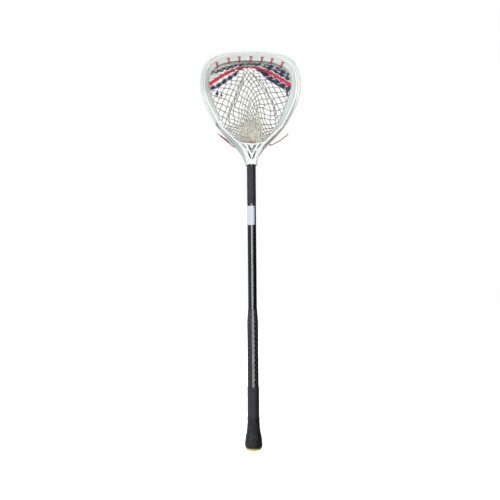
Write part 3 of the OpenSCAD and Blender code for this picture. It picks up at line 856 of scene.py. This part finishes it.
def head_cuts():
    """Bore, curved lip, screw hole and its counterbore, and the openings in the throat's front plate."""
    lip_half, lip_rise, wide, below = 17, 2.8, 24, SOCKET_LOW - 14
    lip_x = np.linspace(lip_half, -lip_half, 25)
    lip = np.concatenate([[[-wide, below], [wide, below], [wide, SOCKET_LOW]],
                          np.stack([lip_x, SOCKET_LOW + lip_rise * (1 - (lip_x / lip_half) ** 2)], axis=1),
                          [[-wide, SOCKET_LOW]]])
    cuts = [column(FIT_GAP, 60, SOCKET_LOW - 20, SHAFT_TOP + 1), prism(lip, -40, 40)]
    turn = ring_turn(96)
    for radius, near, far in ((2.0, 10, 44), (5.0, SHAFT_D / 2 + SOCKET_WALL, 46)):
        hole = np.stack([radius * np.cos(turn), SCREW_Z + radius * np.sin(turn)], axis=1)
        cuts.append(prism(hole, near, far))
    window = [(-15.4, 943), (-7.5, 943), (0, 929.5), (7.5, 943), (15.4, 943),
              (2.4, 918.5), (0, 917), (-2.4, 918.5)]
    front, through, groove = -32, -10, THROAT_FRONT + 1.5
    cuts.append(prism(window, front, through))
    for s in (-1, 1):
        for start, end, width, back in (((11.4, 920.5), (3.0, 900), 5.2, through),
                                        ((28, 945.5), (18, 932), 4.0, through),
                                        ((17.6, 930), (13.2, 917), 3.0, groove)):
            slot = slot_outline((s * start[0], start[1]), (s * end[0], end[1]), width)
            cuts.append(prism(slot, front, back))
    return cuts


def painted_crease_shade(spots):
    """How much painted shade each point gets, 0 to 1: in the grooves beside the beads and along the outer
    edge.
    """
    out = np.zeros(len(spots))
    z = spots[:, 2]
    groove = np.clip((1226 - z) / 40 - 0.4, 0, 1) * np.clip((z - 905) / 40, 0.2, 1)
    edge = 0.45 * np.clip((1222 - z) / 30, 0, 1) * np.clip((z - 1030) / 40, 0, 1)
    # Painted shade in the grooves beside the beads and along the outer edge.
    for line, last, centre, width, fade in ((RIDGE, 4.0, 4.6, 1.0, groove), (INNER, 3.0, 4.6, 1.0, groove),
                                            (OUTER, 4.0, 1.0, 4.5, edge)):
        points = rail(line, np.linspace(-last, last, 1600))
        tree = KDTree(len(points))
        for k, q in enumerate(points):
            tree.insert(q, k)
        tree.balance()
        far = np.array([tree.find(q)[2] for q in spots])
        out = np.maximum(out, np.exp(-((far - centre) / width) ** 2) * fade)
    return out


def make_head(look):
    """One skin over the head's solids, softened, with its bore, holes and slots cut sharp."""
    head = raw_object(head_solids())
    m = head.modifiers.new("voxels", "REMESH")
    m.mode, m.voxel_size, m.adaptivity, m.use_smooth_shade = "VOXEL", HEAD_VOXEL * MM, 0, True
    m = head.modifiers.new("soften", "SMOOTH")
    m.factor, m.iterations = 0.5, 4
    head = applied(head)
    for solid in head_cuts():
        head = carve(head, solid)
    mesh = head.data
    bpy.data.objects.remove(head)
    mesh.name = "Head"
    mesh.materials.clear()
    spots = np.array([v.co[:] for v in mesh.vertices]) / MM
    # The crease attribute carries the painted shade of the grooves and the outer edge.
    mesh.attributes.new("crease", "FLOAT", "POINT").data.foreach_set("value", painted_crease_shade(spots))
    mesh_piece(mesh, "Head", look, "head_white", "head_frame")


def make_ball_stop(look):
    """Foam pad lying in the throat's arc: crowned, with rounded edges."""
    half, reach, thick = 31.5, 21.5, 1.1
    x = np.linspace(-half, half, 50)
    ease = np.sqrt(np.clip(1 - np.clip((np.abs(x) - half + 3) / 3, 0, 1) ** 2, 0.02, 1))
    turn = ring_turn(28)
    lean = x / (ARC_R - thick)
    up = np.stack([-lean, 0 * x, np.sqrt(1 - lean ** 2)], axis=1)
    centre = [0, 2.5, ARC_Z] - up * (ARC_R - 1.25)
    depth = reach * (0.92 + 0.08 * ease)[:, None] * boxy(np.cos(turn), 0.35)
    rise = thick * ease[:, None] * boxy(np.sin(turn), 0.55)
    rings = centre[:, None] + depth[..., None] * [0, 1, 0] + rise[..., None] * up[:, None]
    verts, faces, rows, cols = skin(rings)
    b = Build()
    b.add(verts, faces, np.stack([cols / len(turn) * 8, rows / len(x) * 6], axis=1))
    pad = b.piece("BallStop", look, "foam", "ball_stop")


# ---------------- the net

NET_COLS, NET_ROWS = 14, 18
STRAND_R, STRAND_REST = 1.25, 12.6
FOLDED = [0.29, 0.36, 0.56, 0.62]  # rows over which the two long folds come up and go down
# Painted light: the last of these makes the rows that cross the laces, under the scoop's shade, paler.
LACED_LOW, LACED_HIGH, LACED_PAINTED_LIGHT = 0.05, 0.31, 1.1  # the rows that cross the laces are paler


def folds(a):
    """Where the two long folds cross row a, as b."""
    left = np.interp(a, [0.31, 0.375, 0.465, 0.503, 0.56, 0.62], [-0.04, -0.16, -0.40, -0.565, -0.73, -0.86])
    right = np.interp(a, [0.31, 0.345, 0.393, 0.435, 0.468, 0.552, 0.6],
                      [0.06, 0.18, 0.385, 0.55, 0.725, 0.89, 0.95])
    return left, right


def net_b(a, c):
    """Where column c of the net lies across the bag at row a: gathered low down and along two folds."""
    out = np.empty(a.shape)
    grid_b = np.linspace(-1, 1, 801)
    half = len(grid_b) // 2
    for key in np.unique(a):
        gather = np.interp(key, [0.28, 0.45, 0.6, 0.7, 0.8, 0.9, 1.0], [0.0, 0.4, 0.9, 0.9, 0.7, 0.3, 0.0])
        density = 1 + gather * np.exp(-(np.abs(grid_b - 0.04) / 0.46) ** 4)
        for spot in folds(key):
            crease = np.interp(key, FOLDED, [0.0, 2.6, 2.6, 0.0])
            density = density + crease * np.exp(-((grid_b - spot) / 0.055) ** 2)
        run = np.concatenate([[0], np.cumsum((density[1:] + density[:-1]) / 2)])
        left, right = run[:half + 1] / run[half] - 1, (run[half + 1:] - run[half]) / (run[-1] - run[half])
        here = a == key
        out[here] = np.interp(c[here], np.concatenate([left, right]), grid_b)
    return out


def net_nodes():
    """The net's knots on the bag, a little out of line, and where they are in a and b."""
    rows, cols = 2 * NET_ROWS + 1, 2 * NET_COLS + 1
    i, j = np.meshgrid(np.arange(rows), np.arange(cols), indexing="ij")
    regular = i / (rows - 1)
    regular = regular + 0.4 * (regular * regular - regular)
    c = 2 * j / (cols - 1) - 1
    wander = RNG.normal(0, 1, (rows, cols, 2))
    soft = np.sin(np.pi * np.clip(regular, 0.02, 0.98)) ** 0.5 * (1 - c ** 4)
    a = np.clip(regular + 0.0045 * soft * wander[..., 0], 0, 1)
    b = 0.985 * net_b(regular, np.clip(c + 0.014 * soft * wander[..., 1], -1, 1))
    near = sum(np.exp(-((b - fold) / 0.05) ** 2) for fold in folds(a))
    lift = near * np.interp(a, FOLDED, [0, 1, 1, 0])
    return bag(a, b) + (1.2 - 5.0 * lift)[..., None] * bag_out(a, b), a, b


def strand(build, start, end, normal, tone, lean):
    """One strand of the net from knot to knot; it bows if it is longer than its gap."""
    t = np.linspace(0, 1, 8)[:, None]
    gap = np.linalg.norm(end - start)
    slack = max(0.0, STRAND_REST - gap)
    rise = min(0.42 * math.sqrt(slack * gap), 0.26 * gap) + 0.03 * gap
    way = unit(np.cross(end - start, normal)) * lean + normal * 0.35
    path = start + (end - start) * t + way * rise * np.sin(np.pi * t)
    tube(build, path, STRAND_R * RNG.uniform(0.92, 1.08), 7, tone, False)


def make_net(look):
    build = Build()
    p, a, b = net_nodes()
    rows, cols = a.shape
    out, along = bag_out(a, b), bag_along(a, b)
    for i in range(rows):
        for j in range(i % 2, cols, 2):
            tone = RNG.uniform(0.35, 1.15)
            # Painted light: strands that cross the laces, under the scoop, are made paler.
            if LACED_LOW < a[i, j] < LACED_HIGH:
                tone += LACED_PAINTED_LIGHT
            for dj in (-1, 1):
                if i + 1 < rows and 0 <= j + dj < cols:
                    strand(build, p[i, j], p[i + 1, j + dj], out[i, j], tone, RNG.normal(0.55 * dj, 0.5))
            if 0 < i < rows - 1 or 0 < j < cols - 1:
                axes = [along[i, j], np.cross(along[i, j], out[i, j]), out[i, j]]
                ellipsoid(build, p[i, j], axes, [3.2, 2.1, 1.9], tone * RNG.uniform(0.85, 1.05))
    for j in (0, cols - 1):  # edge cords along the side walls
        tube(build, smooth_path(p[:, j], 160, 1), 1.3, 7, 0.6)
    gathered(build)
    build.piece("NetBag", look, "mesh_tan", "mesh_pocket")


def gathered(build):
    """The slack of the net, gathered in folds above the throat: drawn-out diamonds in two layers."""
    across, cells, sides = 15, 3.25, 6
    half_width, top_z, painted_light_z = 38.5, 1022, 989
    h = np.linspace(0, 1, 34)
    zig = np.abs(((h - 1) * cells + 0.25) % 1 * 2 - 1) - 0.5
    for layer in range(2):
        for k in range(across):
            s = (k + 0.5 + 0.4 * layer + RNG.uniform(-0.12, 0.12)) / across * 2 - 1
            middle = s * (half_width - 5 * h ** 2) + 1.2 * np.sin(h * 5 + k * 1.7)
            top = top_z + 16 * math.cos((s - 0.35) * 2.2) + RNG.uniform(-18, 16)
            for way in (-1, 1):
                x = middle + way * zig * (2.4 + 3.6 * h)
                low = arc_z(np.clip(x, -60, 60)) - 1.0
                z = low + (top - low) * h
                y = 16 * h ** 1.5 * (1 - 0.5 * s * s) + 2.2 * np.cos(s * 11 + 2 * layer) * h
                path = np.stack([x, THROAT_BACK + 3.4 * layer + y + 0.9 * way, z], axis=1)
                radius = STRAND_R * RNG.uniform(0.9, 1.1)
                # Painted light and shade: the bunch is painted paler than the bag and palest near its middle,
                # and the back layer is painted darker as shade.
                tone = np.interp(np.hypot(x, z - painted_light_z), [15, 23], [3.1, 2.5]) * (1 - 0.32 * layer)
                tube(build, path, radius, sides, np.repeat(tone * RNG.uniform(0.8, 1.05), sides), False)


def lace_ribbon(build, base, sag, width, side, wave, phase, ends):
    """Flat lace through the net along row base + sag, side out of the bag and weaving by wave;
    sag and width are each a list of b and a list of values there."""
    steps, thick = 320, 1.8
    b = np.linspace(*ends, steps)
    a = base + np.interp(b, *sag)
    out = bag_out(a, b)
    cycle = b * NET_COLS * np.pi
    half_cycle = np.sin(cycle / 2 + phase)
    centre = smooth_path(bag(a, b) + out * (side + wave * np.sin(cycle + phase))[:, None], steps, 1)
    along = unit(np.gradient(centre, axis=0))
    wide = unit(np.cross(out, along))
    # the lace stands up on its edge rather than lying back along the bag
    wide = unit(wide * [1, 0.3, 1] + out * (0.2 * half_cycle)[:, None])
    out = unit(np.cross(along, wide))
    half_width = np.interp(b, *width) / 2 * (1 - 0.16 * np.abs(half_cycle))
    turn = ring_turn(14)
    x, y = boxy(np.cos(turn), 0.4), boxy(np.sin(turn), 0.6)
    rings = centre[:, None] + wide[:, None] * (half_width[:, None] * x)[..., None] \
        + out[:, None] * (y * thick / 2 - 0.25 * x ** 2)[:, None]
    verts, faces, rows, cols = skin(rings)
    uv = np.stack([((x + 1) / 2)[cols % len(turn)], length_along(centre)[rows] / 10], axis=1)
    build.add(verts, faces, uv)


def make_laces(navy, red):
    """Three shooting laces, each sagging in its own way; the top one is two runs side by side."""
    top, middle, lower = LACE_ROWS
    top_at = [-1, -0.75, -0.48, -0.3, 0, 0.3, 0.6, 0.95]
    top_sag = [-0.075, -0.01, 0.01, 0.0, -0.035, -0.035, -0.03, -0.035]
    under_sag = [-0.05, 0.015, 0.04, 0.03, 0.0, 0.02, 0.035, 0.03]
    top_width = ([-1, -0.5, 0.1, 0.4], [5, 8, 11, 14])
    middle_width = ([-0.2, -0.02, 0.02, 0.2], [LACE_W, 4, 4, LACE_W])
    lower_sag = ([-1, -0.82, -0.635, -0.445, -0.275, -0.155, 0, 0.15, 0.285, 0.435, 0.555, 0.745, 0.91, 1],
                 [-0.012, 0.007, 0.002, -0.003, -0.012, -0.05, -0.062, -0.058, -0.048, -0.022, -0.012,
                  -0.01, -0.01, -0.012])
    lower_width = ([-0.3, -0.1, 0.15, 0.35], [LACE_W, 6, 9, LACE_W + 8])
    for name, look, slot, runs in (
            ("Top", navy, "lace_navy",
             [(top, (top_at, top_sag), top_width, 0.7, 2.2, 0.4, (-0.955, 0.955)),
              (top, (top_at, under_sag), top_width, 0.7, 2.2, 2.4, (-0.95, 0.95))]),
            ("Middle", red, "lace_red",
             [(middle, ([0], [0]), middle_width, -0.7, 1.9, 1.9, (-0.975, 0.985))]),
            ("Lower", navy, "lace_navy",
             [(lower, lower_sag, lower_width, 0.3, 2.0, 0.2, (-0.975, 0.98))])):
        b = Build()
        for run in runs:
            lace_ribbon(b, *run)
        b.piece("ShootingLace" + name, look, slot, "shooting_lace_" + name.lower())


def knot(build, centre, r, seed):
    """Overhand knot: a cord wound round itself twice, then drawn tight."""
    g = np.random.default_rng(seed)
    spin = Matrix.Rotation(g.uniform(0, 6.3), 3, Vector(g.normal(0, 1, 3)).normalized())
    t = np.linspace(0, 2 * np.pi, 60)
    local = np.stack([np.sin(t) + 2 * np.sin(2 * t), np.cos(t) - 2 * np.cos(2 * t), -np.sin(3 * t)], axis=1)
    tube(build, np.asarray(centre) + local / 3 * r * 0.62 @ np.array(spin), r * 0.40, 8, 0.5, False)


def make_lace_knots(look):
    """Knots that end the lower lace at each wall; each has its place on the bag, lift, radius and seed."""
    for side, spots in (("Left", [(0.362, -0.845, 6, 5.6, 5), (0.39, -0.75, 5, 4.2, 6)]),
                        ("Right", [(0.328, 0.935, 6, 5.2, 7), (0.35, 0.945, 6, 3.4, 8)])):
        b = Build()
        for at_a, at_b, lift, r, seed in spots:
            centre = bag(at_a, at_b)[0] - [0, lift, 0]
            knot(b, centre, r, seed)
            end = [centre, centre + [1.0, -1.5, -r * 0.9], centre + [0, -1, -r * 1.7]]
            tube(b, smooth_path(end, 14), r * 0.36)
        b.piece("LaceKnots" + side, look, "lace_navy", "lace_knots_" + side.lower())


# ---------------- strings

def scoop_face(x):
    """The scoop's inner edge at x, the way from it up to the ridge, and the direction out of its face."""
    x = np.atleast_1d(np.asarray(x, float))
    u = np.interp(np.abs(x), [0, 56, 88, 112], [0, 0.2, 0.36, 0.6]) * np.where(x < 0, -1, 1)
    edge = rail(INNER, u)
    up = rail(RIDGE, u) - edge
    n = unit(np.cross(rail_dir(RIDGE, u), up))
    return edge, up, np.where(n[:, 1:2] < 0, n, -n)


def make_top_string(look):
    """Seven stitches over the scoop's edge, each two strands and a bar, and the string behind it."""
    b = Build()
    r, under = STRING_R, -BEAD_T / 2 - STRING_R
    for x in STITCH_X:
        edge, up, n = (v[0] for v in scoop_face(x))
        hole = edge + up * 0.62
        over = n * (WALL_T / 2 + r + 0.1)
        lean = RNG.uniform(-0.4, 0.4)
        for s in (-1, 1):
            side, mid = np.array([s * 3.9, 0, 0]), np.array([s * 1.5 + lean, 0, 0])
            foot = edge + mid
            route = [hole + side - n * 3.5,
                     hole + side * 1.05 + over * 0.8,
                     hole + side * 0.55 + over * 1.1 + (edge - hole) * 0.14,
                     (hole + edge) / 2 + mid + over * 1.15,
                     foot + n * (BEAD_T / 2 + r + 0.1) * 0.97,
                     foot + [0, 0.5, under],
                     foot + [0, 6, under - 1.0]]
            tube(b, smooth_path(route, 40), r * 0.86, 9)
        bar = [hole + [-4.2, 0, 0] - n * 3, hole + [-4.4, 0, 0.2] + over, hole + over * 1.3 + [0, 0, 0.6],
               hole + [4.4, 0, 0.2] + over, hole + [4.2, 0, 0] - n * 3]
        tube(b, smooth_path(bar, 34), r * 0.9, 9)
    x = np.linspace(-105, 105, 150)
    edge, up, n = scoop_face(x)
    behind = edge + up * 0.1 - n * (BEAD_T / 2 + STRING_D / 2 + 0.4)
    behind[:, 2] += 0.7 * np.sin(x / 5.5)
    tube(b, behind, r, 9)
    b.piece("TopString", look, "string_red", "top_string")


def make_sidewall(side, look, slot):
    """String laced through the mesh's edge and the holes of the left (-1) or right (1) side wall."""
    name = "Left" if side < 0 else "Right"
    steps, turns = 520, 22
    x, y, z = rail(INNER, np.linspace(0.66, 2.9, steps)).T
    phase = np.linspace(0, turns * 2 * np.pi, steps)
    x = side * (x - 0.5 + 1.5 * np.sin(phase))
    y = y + BEAD_T / 2 + 2.6 + 0.7 * np.cos(phase)
    b = Build()
    tube(b, np.stack([x, y, z], axis=1), STRING_R)
    b.piece(name + "SidewallString", look, slot, name.lower() + "_sidewall_string")


def make_bottom_string(look):
    """String laced behind the throat's arc, and its short run in front."""
    b = Build()
    x = np.linspace(-36, 36, 90)
    y = THROAT_BACK + STRING_D / 2 + 0.2 + 0 * x
    tube(b, np.stack([x, y, arc_z(x) + 1.5 + 1.5 * np.cos(x * np.pi / 6)], axis=1), STRING_R)
    front = [[-9, -8, 950.5], [-5, -12, 951.5], [0, -13, 951], [6, -12.5, 951.5], [11, -9, 951]]
    tube(b, smooth_path(front, 40), STRING_D / 2, 9)
    b.piece("BottomString", look, "string_red", "bottom_string")


def make_tail(name, route, look, slot, node):
    """Stiff end of a waxed string: a free cord on its route."""
    data = bpy.data.curves.new(name, "CURVE")
    data.dimensions = "3D"
    data.bevel_depth, data.bevel_resolution = STRING_D / 2 * MM, 3
    data.use_fill_caps = True
    points = smooth_path(route, 3 * len(route)) * MM
    spline = data.splines.new("POLY")
    spline.points.add(len(points) - 1)
    spline.points.foreach_set("co", np.insert(points, 3, 1, axis=1).ravel())
    spline.use_smooth = True
    data.materials.append(look)
    tail = declare(place(name, data), slot, node)
    float(length_along(points)[-1])


# ---------------- stage and light

def make_camera():
    """Level camera in front, turned a little to the left and rolled a little."""
    distance, height, aim_offset = 2.2, 0.618, -0.0063
    azimuth, roll = math.radians(-4.5), math.radians(0.51)
    data = bpy.data.cameras.new("camera")
    data.lens, data.sensor_width = 50.98, 36
    data.clip_start, data.clip_end = 0.05, 60
    up = Vector((0, 0, 1))
    back = Vector((math.sin(azimuth), -math.cos(azimuth), 0))
    level = Vector((math.cos(azimuth), math.sin(azimuth), 0))
    right = level * math.cos(roll) - up * math.sin(roll)
    top = up * math.cos(roll) + level * math.sin(roll)
    spot = back * distance + up * height + level * aim_offset
    cam = place("camera", data)
    cam.matrix_world = Matrix.Translation(spot) @ Matrix((right, top, back)).transposed().to_4x4()
    bpy.context.scene.camera = cam


def make_stage():
    """Pale floor that glows faintly, so that it meets the white background."""
    left, right, near, far = -7.0, 7.0, -7.0, 5.0
    mesh = bpy.data.meshes.new("Floor")
    mesh.from_pydata([(left, near, 0), (right, near, 0), (right, far, 0), (left, far, 0)], [], [(0, 1, 2, 3)])
    look = Look("floor_pale", (0.92, 0.92, 0.92), 0.9, Emission_Color=(1, 1, 1, 1), Emission_Strength=0.92)
    look.paint(look.patches(3, 2, 0.4, 0.6), (0.91, 0.91, 0.91), (0.93, 0.93, 0.93))
    mesh.materials.append(look.mat)
    floor = place("Floor", mesh)
    floor.visible_diffuse = floor.visible_glossy = False


def make_world():
    """Plain white for the camera; for the object, a soft light that fades from its left to its right."""
    world = bpy.data.worlds.new("studio")
    bpy.context.scene.world = world
    world.use_nodes = True
    tree = world.node_tree
    tree.nodes.clear()
    coords, split, ramp, soft, plain, ray, pick, out = (tree.nodes.new("ShaderNode" + kind) for kind in (
        "TexCoord", "SeparateXYZ", "MapRange", "Background", "Background", "LightPath", "MixShader",
        "OutputWorld"))
    for key, value in (("From Min", -1), ("From Max", 0.9), ("To Min", 0.58), ("To Max", 0.07)):
        ramp.inputs[key].default_value = value
    soft.inputs["Color"].default_value = (0.90, 0.95, 1.06, 1)
    plain.inputs["Color"].default_value = (1, 1, 1, 1)
    for source, socket in ((coords.outputs["Generated"], split.inputs[0]),
                           (split.outputs["X"], ramp.inputs["Value"]),
                           (ramp.outputs["Result"], soft.inputs["Strength"]),
                           (ray.outputs["Is Camera Ray"], pick.inputs[0]),
                           (soft.outputs[0], pick.inputs[1]),
                           (plain.outputs[0], pick.inputs[2]),
                           (pick.outputs[0], out.inputs[0])):
        tree.links.new(source, socket)


def area_light(name, spot, aim, width, height, radiance, colour=(1, 1, 1), spread=180):
    data = bpy.data.lights.new(name, "AREA")
    data.shape, data.size, data.size_y = "RECTANGLE", width, height
    data.energy = radiance * math.pi * width * height
    data.color = colour
    data.spread = math.radians(spread)
    light = place(name, data)
    light.location = spot
    light.rotation_mode = "QUATERNION"
    light.rotation_quaternion = (Vector(aim) - Vector(spot)).to_track_quat("-Z", "Y")
    light.visible_camera = False


def make_lights():
    """Studio panels; the tall narrow one in front makes the highlight down the shaft."""
    area_light("key", (-1.1, -2.7, 0.9), (0, 0, 1.0), 1.3, 1.3, 1.7, (0.97, 1.0, 0.985))
    area_light("low", (0.4, -0.9, 0.75), (-0.02, 0, 1.22), 0.5, 0.5, 0.34, spread=34)
    area_light("fill", (1.3, -1.8, 2.3), (0, 0, 1.1), 1.3, 1.3, 1.3)
    area_light("top", (-0.4, -1.2, 3.0), (0, 0, 1.0), 1.2, 1.2, 2.0)
    area_light("front", (0.035, -2.7, 0.6), (0, 0, 0.6), 0.34, 2.4, 17.0, (0.93, 0.96, 1.0))
    area_light("left", (-2.2, -1.0, 1.4), (0, 0, 1.0), 1.0, 0.9, 6.4, (0.86, 0.93, 1.0))
    area_light("back", (0.9, 2.8, 1.7), (0, 0, 0.9), 1.8, 1.8, 4.5)


# ---------------- everything

make_camera()
bpy.context.scene.view_settings.view_transform = "Standard"

navy_lace = lace_look("lace_navy", (0.0045, 0.008, 0.026), (0.021, 0.043, 0.13))
red_lace = lace_look("lace_crimson", (0.34, 0.010, 0.028), (0.82, 0.032, 0.095))
red_string = string_look("string_crimson", (0.22, 0.006, 0.018), (0.72, 0.015, 0.06))
black_string = string_look("string_black", (0.006, 0.004, 0.006), (0.030, 0.022, 0.028))
grey_tape = tape_look("tape_grey", (0.007, 0.007, 0.010), (0.034, 0.035, 0.044), 0.38)
knob_cloth = tape_look("knob_tape", (0.002, 0.002, 0.003), (0.009, 0.009, 0.011), 0.34)

b = Build()
knot(b, RIGHT_TAIL[1], 3.4, 31)
tail_knot = b.piece("RightTailKnot", black_string, "string_black", "right_tail_knot")
make_tail("LeftStringTail", LEFT_TAIL, red_string, "string_red", "left_string_tail")
make_tail("RightStringTail", RIGHT_TAIL, red_string, "string_red", "right_string_tail")
make_tail("BlackStringTail", BLACK_TAIL, black_string, "string_black", "black_string_tail")
make_tail("SideStringEnd", SIDE_END, black_string, "string_black", "side_string_end")

make_shaft(shaft_look())
make_upper_tape(grey_tape)
make_sticker(sticker_look())
make_grip(grip_look())
make_lower_tape(grey_tape)
make_knob(knob_cloth)
make_cap(cap_look())
make_head(head_look())
make_ball_stop(foam_look())
make_net(net_look())
make_laces(navy_lace, red_lace)
make_lace_knots(navy_lace)
make_top_string(red_string)
make_sidewall(-1, red_string, "string_red")
make_sidewall(1, black_string, "string_black")
make_bottom_string(red_string)

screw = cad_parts["head_screw"]
screw.data.materials.clear()
screw.data.materials.append(steel_look())

make_stage()
make_world()
make_lights()
